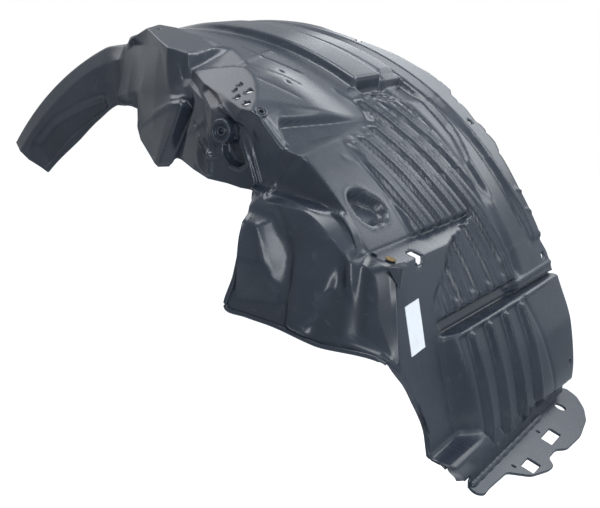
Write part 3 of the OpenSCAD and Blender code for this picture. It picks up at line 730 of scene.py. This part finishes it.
def lathe(name, profile, segments=48):
    """Turned shape about +Z from (radius, height) pairs in millimetres."""
    verts, faces = [], []
    for k in range(segments):
        a = 2 * math.pi * k / segments
        verts += [(p * math.cos(a) / 1000, p * math.sin(a) / 1000, h / 1000) for p, h in profile]
    n = len(profile)
    for k in range(segments):
        for i in range(n - 1):
            a, b = k * n + i, (k + 1) % segments * n + i
            faces.append((a, b, b + 1, a + 1))
    return mesh_object(name, verts, faces)


def place(obj, origin, z_axis, x_hint=(1, 0, 0)):
    """Moves the mesh so that its own origin and +Z go to a point about the axle and a direction."""
    z = Vector(z_axis).normalized()
    x = Vector(x_hint)
    x = (x - z * x.dot(z)).normalized()
    y = z.cross(x)
    m = Matrix((x, y, z)).transposed().to_4x4()
    m.translation = Vector(to_row(origin))
    obj.data.transform(m)
    obj.data.update()
    return obj


def screw_boss():
    """Round boss of the front wall, with its two rings and the hole."""
    profile = [
        (BOSS_R + 1.4, -1.5), (BOSS_R + 0.8, 0.2), (BOSS_R, 8.6), (BOSS_R - 0.5, 9.6), (BOSS_R - 1.4, 10.0),
        (8.4, 10.0), (7.8, 9.6), (7.5, 8.6), (7.3, 7.4), (5.4, 7.4), (5.1, 8.4), (4.7, 9.0), (4.1, 9.2),
        (3.2, 9.2), (2.7, 8.9), (2.5, 8.2), (2.5, -3.0), (4.2, -3.2), (8.6, 5.0), (8.6, -3.0),
        (BOSS_R + 0.6, -3.0), (BOSS_R + 1.4, -1.5),
    ]
    return place(lathe("screw_boss", profile), BOSS_AT, (0, -1, 0))


def corner_boss():
    """Small ringed screw boss where the platform's edge meets the fold."""
    profile = [
        (6.4, -3.0), (6.2, 0.6), (5.7, 1.5), (4.9, 1.7), (4.4, 1.2), (4.2, 0.6), (3.5, 0.6), (3.3, 1.5),
        (2.9, 1.9), (2.4, 1.8), (2.0, 1.3), (1.9, -3.0), (6.4, -3.0),
    ]
    return place(lathe("corner_boss", profile, 36), sheet_point(56.0, -3.5), (0.62, -0.32, 0.72))


def ring(cx, cy, radius, n=28):
    """Points of a circle."""
    turns = [2 * math.pi * k / n for k in range(n)]
    return [(cx + radius * math.cos(a), cy + radius * math.sin(a)) for a in turns]


def plate(name, outlines, thickness, edge):
    """Flat plate with holes from closed outlines in millimetres, its edges rounded by edge."""
    curve = bpy.data.curves.new(name, "CURVE")
    curve.dimensions = "2D"
    curve.fill_mode = "BOTH"
    curve.extrude = (thickness / 2 - edge) / 1000
    curve.bevel_depth = edge / 1000
    curve.bevel_resolution = 2
    for outline in outlines:
        spline = curve.splines.new("POLY")
        spline.points.add(len(outline) - 1)
        for point, (x, y) in zip(spline.points, outline):
            point.co = (x / 1000, y / 1000, 0, 1)
        spline.use_cyclic_u = True
    source = bpy.data.objects.new(name + "_outline", curve)
    bpy.context.scene.collection.objects.link(source)
    bpy.context.view_layer.update()
    mesh = bpy.data.meshes.new_from_object(source.evaluated_get(bpy.context.evaluated_depsgraph_get()))
    bpy.data.objects.remove(source)
    obj = bpy.data.objects.new(name, mesh)
    bpy.context.scene.collection.objects.link(obj)
    return obj


def rounded(points, size, n=4):
    """Outline with each corner cut to an arc that starts size before it."""
    out = []
    for k, p in enumerate(points):
        p = np.array(p, float)
        a, b = np.array(points[k - 1], float) - p, np.array(points[(k + 1) % len(points)], float) - p
        s = min(size, 0.45 * np.linalg.norm(a), 0.45 * np.linalg.norm(b))
        a, b = p + a / np.linalg.norm(a) * s, p + b / np.linalg.norm(b) * s
        for i in range(n + 1):
            u = i / n
            out.append(tuple((1 - u) ** 2 * a + 2 * u * (1 - u) * p + u * u * b))
    return out


# Down the flange's slope from the foot, and across the car: outline, two four-sided holes, three round ones.
FLANGE_OUTLINE = [
    (0, 60), (4, 52), (12, 50), (18, 56), (17, 69), (19, 112), (38, 132), (47, 160), (48, 172), (39, 181),
    (39, 205), (47, 220), (49, 262), (43, 303), (33, 327), (18, 346), (4, 350), (0, 346),
]
FLANGE_SQUARE = [(20, 208), (34, 208), (34, 240), (20, 240)]
FLANGE_SLOT = [(24, 136), (39, 136), (39, 159), (24, 159)]


def flange():
    """Bottom flange plate with its round, slotted and square holes."""
    outlines = [rounded(FLANGE_OUTLINE, 5), rounded(FLANGE_SQUARE, 2), rounded(FLANGE_SLOT, 2)]
    outlines += [ring(13, 299, 7), ring(14, 218, 2.8, 20), ring(20, 128, 2.8, 20)]
    obj = plate("bottom_flange", outlines, FLANGE_T, 0.7)
    m = Matrix.Rotation(FLANGE_SLOPE * rad, 4, "Y")
    m.translation = Vector(to_row([FOOT_X - 3, 0, -11]))
    obj.data.transform(m)
    return obj


def tube(name, path, radii, segments=16):
    """Round bar through the points of a path in millimetres about the axle, with closed rounded ends."""
    path = np.asarray(path, float)
    verts, faces = [], []
    for k, (p, size) in enumerate(zip(path, radii)):
        d = path[min(k + 1, len(path) - 1)] - path[max(k - 1, 0)]
        d /= np.linalg.norm(d)
        side = np.cross(d, [0, 0, 1.0])
        side /= np.linalg.norm(side)
        up = np.cross(side, d)
        for s in range(segments):
            a = 2 * math.pi * s / segments
            verts.append(to_row(p + size * (math.cos(a) * side + math.sin(a) * up)))
    for k in range(len(path) - 1):
        for s in range(segments):
            a, b = k * segments + s, k * segments + (s + 1) % segments
            faces.append((a, b, b + segments, a + segments))
    first, last = list(range(segments))[::-1], [(len(path) - 1) * segments + s for s in range(segments)]
    return mesh_object(name, verts, faces + [first, last])


def foot_bead():
    """Rounded ridge along the joint of sheet and flange, scalloped a little along its length."""
    ys = np.linspace(55, 251, 99)
    size = 4.0 + 0.35 * np.cos((ys - 60) * 2 * math.pi / 19.75)
    size *= np.sqrt(np.clip(np.minimum(ys - 52, 254 - ys) / 6, 0.1, 1))
    return tube("foot_bead", [(FOOT_X + 1, y, -12) for y in ys], size)


def rolled_edge(g):
    """Rounded rim along the free edge of the pocket wall."""
    path = g[(rows > 18.5) & (rows < 50.6), 0]
    size = np.full(len(path), 2.3)
    size[:4] = size[-4:] = 1.6
    return tube("pocket_rim", path, size, 12)


def ledge_tab():
    """Small pointed tab that hangs from the corner of the ledge under the clip."""
    x = BOX_X + 0.4
    verts = [
        (x, -21, 199), (x + 1.0, 9, 198.5), (x + 4.4, -7, 178), (x + 8.5, -11, 197.5), (x + 8.5, -2, 197.5),
        (x - 4, -6, 198),
    ]
    faces = [(0, 3, 2), (3, 4, 2), (4, 1, 2), (0, 5, 1, 4, 3), (0, 2, 5), (1, 5, 2)]
    return mesh_object("ledge_tab", to_row(verts), faces, smooth=False)


# Places on the leaning rear wall of the box and on its ledge.
LABEL_AT = (BOX_X + BOX_LEAN * 57, 17.0, 140.0)
LABEL_SIZE = (28.0, 44.0)
LABEL_TILT = 3 * rad
CLIP_AT = (BOX_X - 9, 3.0, 200.2)
CLIP_AXIS = (math.sin(LEDGE_SLOPE * rad), 0, math.cos(LEDGE_SLOPE * rad))


def label():
    """Blank paper label, its corners a little worn and its edges standing up slightly."""
    w, h = LABEL_SIZE
    nx, ny = 22, 32
    verts, faces = [], []
    for side in (1, 0):
        for i in range(ny + 1):
            for k in range(nx + 1):
                u, v = k / nx - 0.5, i / ny - 0.5
                corner = max(0, abs(u) + abs(v) - 0.93) * 3
                lift = 0.1 * (2 * abs(u)) ** 6 + 0.12 * (2 * abs(v)) ** 8 + 0.06 * math.sin(9 * v + 4 * u)
                x = w * u * (1 - 0.02 * corner)
                y = h * v * (1 - 0.02 * corner)
                verts.append((x / 1000, y / 1000, (0.05 + (0.3 + lift if side else 0)) / 1000))
    n = (nx + 1) * (ny + 1)
    for i in range(ny):
        for k in range(nx):
            a = i * (nx + 1) + k
            faces.append((a, a + 1, a + nx + 2, a + nx + 1))
            faces.append((n + a, n + a + nx + 1, n + a + nx + 2, n + a + 1))
    loop = list(range(nx + 1)) + [i * (nx + 1) + nx for i in range(1, ny + 1)]
    loop += [ny * (nx + 1) + k for k in range(nx - 1, -1, -1)] + [i * (nx + 1) for i in range(ny - 1, 0, -1)]
    faces += [(b, a, a + n, b + n) for a, b in zip(loop, loop[1:] + loop[:1])]
    obj = mesh_object("paper_label", verts, faces, smooth=False)
    lean = math.atan(BOX_LEAN)
    out = (math.cos(lean), 0, math.sin(lean))
    return place(obj, LABEL_AT, out, (0, math.cos(LABEL_TILT), math.sin(LABEL_TILT)))


def clip():
    """Small brass clip: domed head with a raised rim, on its pin."""
    profile = [
        (0.0, 1.75), (1.2, 1.7), (2.4, 1.55), (3.4, 1.25), (4.2, 0.95), (4.5, 1.05), (4.85, 0.95), (5.0, 0.6),
        (4.9, 0.2), (4.6, 0.0), (2.2, -0.05), (2.0, -0.4), (2.0, -6.6), (1.5, -7.0), (0.0, -7.0),
    ]
    return place(lathe("brass_clip", profile, 40), CLIP_AT, CLIP_AXIS)


def material(name, color, roughness, metallic=0.0):
    """Material with one principled shader."""
    mat = bpy.data.materials.new(name)
    mat.use_nodes = True
    nodes, links = mat.node_tree.nodes, mat.node_tree.links
    shader = nodes["Principled BSDF"]
    shader.inputs["Base Color"].default_value = (*color, 1)
    shader.inputs["Roughness"].default_value = roughness
    shader.inputs["Metallic"].default_value = metallic
    return mat, nodes, links, shader


def noise(nodes, links, scale, detail, stretch=None):
    """Noise in object space, as a value from 0 to 1."""
    source = nodes.new("ShaderNodeTexCoord").outputs["Object"]
    if stretch:
        mapping = nodes.new("ShaderNodeMapping")
        mapping.inputs["Scale"].default_value = stretch
        links.new(source, mapping.inputs["Vector"])
        source = mapping.outputs["Vector"]
    tex = nodes.new("ShaderNodeTexNoise")
    tex.inputs["Scale"].default_value = scale
    tex.inputs["Detail"].default_value = detail
    links.new(source, tex.inputs["Vector"])
    return tex.outputs["Fac"]


def map_range(nodes, links, value, low, high, to_low, to_high):
    """Value from the range low to high moved to the range to_low to to_high."""
    node = nodes.new("ShaderNodeMapRange")
    for key, v in (("From Min", low), ("From Max", high), ("To Min", to_low), ("To Max", to_high)):
        node.inputs[key].default_value = v
    links.new(value, node.inputs["Value"])
    return node.outputs["Result"]


def mix_color(nodes, links, fac, a, b):
    """Colour a where fac is 0 and b where it is 1."""
    node = nodes.new("ShaderNodeMix")
    node.data_type = "RGBA"
    links.new(fac, node.inputs["Factor"])
    for socket, value in ((node.inputs[6], a), (node.inputs[7], b)):
        if isinstance(value, tuple):
            socket.default_value = (*value, 1)
        else:
            links.new(value, socket)
    return node.outputs[2]


def bump(nodes, links, shader, value, strength, distance):
    """Fine relief of the surface from a value."""
    node = nodes.new("ShaderNodeBump")
    node.inputs["Strength"].default_value = strength
    node.inputs["Distance"].default_value = distance
    links.new(value, node.inputs["Height"])
    links.new(node.outputs["Normal"], shader.inputs["Normal"])


def plastic():
    """Dark charcoal moulded plastic: satin, a little cloudy, with fine grain and pale scuffs."""
    mat, nodes, links, shader = material("liner_plastic", (0.03, 0.034, 0.042), 0.27)
    cloud = noise(nodes, links, 14, 5)
    grain = noise(nodes, links, 900, 2)
    scuff = noise(nodes, links, 70, 8, stretch=(1, 5, 1))
    tone = map_range(nodes, links, cloud, 0.35, 0.65, 0, 1)
    base = mix_color(nodes, links, tone, (0.018, 0.024, 0.036), (0.030, 0.037, 0.052))
    wear = map_range(nodes, links, scuff, 0.6, 0.78, 0, 0.5)
    worn = mix_color(nodes, links, wear, base, (0.070, 0.078, 0.092))
    links.new(worn, shader.inputs["Base Color"])
    links.new(map_range(nodes, links, cloud, 0.3, 0.7, 0.22, 0.32), shader.inputs["Roughness"])
    bump(nodes, links, shader, grain, 0.06, 0.0003)
    return mat


def paper():
    """Blank white paper with a faint warm stain."""
    mat, nodes, links, shader = material("label_paper", (0.82, 0.84, 0.86), 0.62)
    fibre = noise(nodes, links, 1200, 3)
    stain = map_range(nodes, links, noise(nodes, links, 45, 4), 0.55, 0.8, 0, 0.5)
    color = mix_color(nodes, links, stain, (0.82, 0.84, 0.87), (0.70, 0.68, 0.64))
    links.new(color, shader.inputs["Base Color"])
    bump(nodes, links, shader, fibre, 0.15, 0.0001)
    return mat


def brass():
    """Brass with tarnish."""
    mat, nodes, links, shader = material("clip_metal", (0.24, 0.17, 0.08), 0.45, 1.0)
    tarnish = noise(nodes, links, 300, 5)
    dull = map_range(nodes, links, tarnish, 0.4, 0.7, 0, 1)
    color = mix_color(nodes, links, dull, (0.24, 0.17, 0.08), (0.12, 0.085, 0.05))
    links.new(color, shader.inputs["Base Color"])
    links.new(map_range(nodes, links, tarnish, 0.3, 0.7, 0.40, 0.65), shader.inputs["Roughness"])
    return mat


def finish(obj, mat, node):
    """Gives a piece its material, hangs it on the root body and hides the solid it stands in for."""
    obj.data.materials.clear()
    obj.data.materials.append(mat)
    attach(obj, "root")
    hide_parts(node)


liner_plastic = plastic()
for piece in sheet_objects() + [screw_boss(), corner_boss(), flange(), foot_bead(), ledge_tab()]:
    finish(piece, liner_plastic, "liner")
finish(label(), paper(), "label")
finish(clip(), brass(), "clip")

# Camera at the photograph's place and angle, with its sensor's width and focal length in millimetres.
CAMERA_AT = (697.3, -740.2, 383.5)
AZIMUTH, ELEVATION = 30.98 * rad, 12.26 * rad
SENSOR, LENS = 36, 60
cam_data = bpy.data.cameras.new("camera")
cam_data.sensor_width = SENSOR
cam_data.lens = LENS
cam_data.clip_end = 50
cam = bpy.data.objects.new("camera", cam_data)
bpy.context.scene.collection.objects.link(cam)
cam.location = to_row(CAMERA_AT)
cam.rotation_euler = (math.pi / 2 - ELEVATION, 0, AZIMUTH)
bpy.context.scene.camera = cam
bpy.context.scene.view_settings.view_transform = "Standard"


def ray_share(nodes, links, shares):
    """Sum of the shares of the ray kinds that apply, from pairs of a Light Path output and its share."""
    path = nodes.new("ShaderNodeLightPath")
    out = None
    for name, share in shares:
        node = nodes.new("ShaderNodeMath")
        node.operation = "MULTIPLY_ADD"
        node.use_clamp = True
        links.new(path.outputs[name], node.inputs[0])
        node.inputs[1].default_value = share
        node.inputs[2].default_value = 0.0
        if out:
            links.new(out, node.inputs[2])
        out = node.outputs[0]
    return out


# Strength of the surroundings' light at the front and at the rear of the car.
DIM_FRONT, DIM_REAR = 0.26, 0.56
FLOOR_HALF, FLOOR_Z = 8.0, -1.25
FLOOR_GLOW = 0.75


def studio():
    """Pale surroundings, dimmer towards the front of the car, and white for the camera."""
    world = bpy.data.worlds.new("studio")
    bpy.context.scene.world = world
    world.use_nodes = True
    nodes, links = world.node_tree.nodes, world.node_tree.links
    dim = nodes["Background"]
    dim.inputs["Color"].default_value = (0.80, 0.90, 1.0, 1)
    split = nodes.new("ShaderNodeSeparateXYZ")
    links.new(nodes.new("ShaderNodeTexCoord").outputs["Generated"], split.inputs["Vector"])
    strength = map_range(nodes, links, split.outputs["X"], -0.7, 0.7, DIM_FRONT, DIM_REAR)
    links.new(strength, dim.inputs["Strength"])
    white = nodes.new("ShaderNodeBackground")
    white.inputs["Color"].default_value = (1, 1, 1, 1)
    white.inputs["Strength"].default_value = 1.0
    mix = nodes.new("ShaderNodeMixShader")
    shares = [("Is Camera Ray", 1.0), ("Is Transmission Ray", 1.0), ("Is Glossy Ray", 0.3)]
    links.new(ray_share(nodes, links, shares), mix.inputs["Fac"])
    links.new(dim.outputs["Background"], mix.inputs[1])
    links.new(white.outputs["Background"], mix.inputs[2])
    links.new(mix.outputs["Shader"], nodes["World Output"].inputs["Surface"])


def floor():
    """Wide white floor well below the hanging part."""
    corners = [(x * FLOOR_HALF, y * FLOOR_HALF, FLOOR_Z) for x, y in ((-1, -1), (1, -1), (1, 1), (-1, 1))]
    obj = mesh_object("floor", corners, [(0, 1, 2, 3)])
    mat = bpy.data.materials.new("floor_white")
    mat.use_nodes = True
    nodes, links = mat.node_tree.nodes, mat.node_tree.links
    nodes.clear()
    diffuse = nodes.new("ShaderNodeBsdfDiffuse")
    diffuse.inputs["Color"].default_value = (0.9, 0.9, 0.9, 1)
    glow = nodes.new("ShaderNodeEmission")
    links.new(ray_share(nodes, links, [("Is Camera Ray", FLOOR_GLOW)]), glow.inputs["Strength"])
    add = nodes.new("ShaderNodeAddShader")
    links.new(diffuse.outputs["BSDF"], add.inputs[0])
    links.new(glow.outputs["Emission"], add.inputs[1])
    out = nodes.new("ShaderNodeOutputMaterial")
    links.new(add.outputs["Shader"], out.inputs["Surface"])
    obj.data.materials.append(mat)


def softbox(name, place_at, aim, size, power, color):
    """Rectangular lamp at a point, aimed at another, both in metres in the row's frame."""
    data = bpy.data.lights.new(name, "AREA")
    data.shape = "RECTANGLE"
    data.size, data.size_y = size
    data.energy = power
    data.color = color
    obj = bpy.data.objects.new(name, data)
    bpy.context.scene.collection.objects.link(obj)
    obj.location = place_at
    obj.rotation_euler = (Vector(aim) - Vector(place_at)).to_track_quat("-Z", "Y").to_euler()


studio()
floor()
softbox("overhead", (0.4, -0.05, 1.45), (0.1, -0.15, -0.15), (0.9, 0.9), 18, (0.94, 0.97, 1))
softbox("front_panel", (-0.95, 0.1, 1.0), (-0.15, -0.15, -0.1), (1.2, 1.2), 8, (0.97, 0.98, 1))
softbox("key", (1.25, 0.6, 0.95), (0.25, -0.1, -0.15), (0.6, 0.6), 6, (0.95, 0.98, 1))
softbox("back_panel", (0.3, 1.6, 0.65), (0.15, -0.1, -0.15), (2.0, 0.5), 7, (0.93, 0.97, 1))
softbox("rear_strip", (1.7, -0.1, 0.1), (0.3, -0.1, -0.25), (0.25, 1.1), 2, (0.9, 0.95, 1))
softbox("side_strip", (1.3, -1.4, 0.2), (0.22, -0.35, -0.2), (0.35, 1.4), 12, (0.92, 0.96, 1))
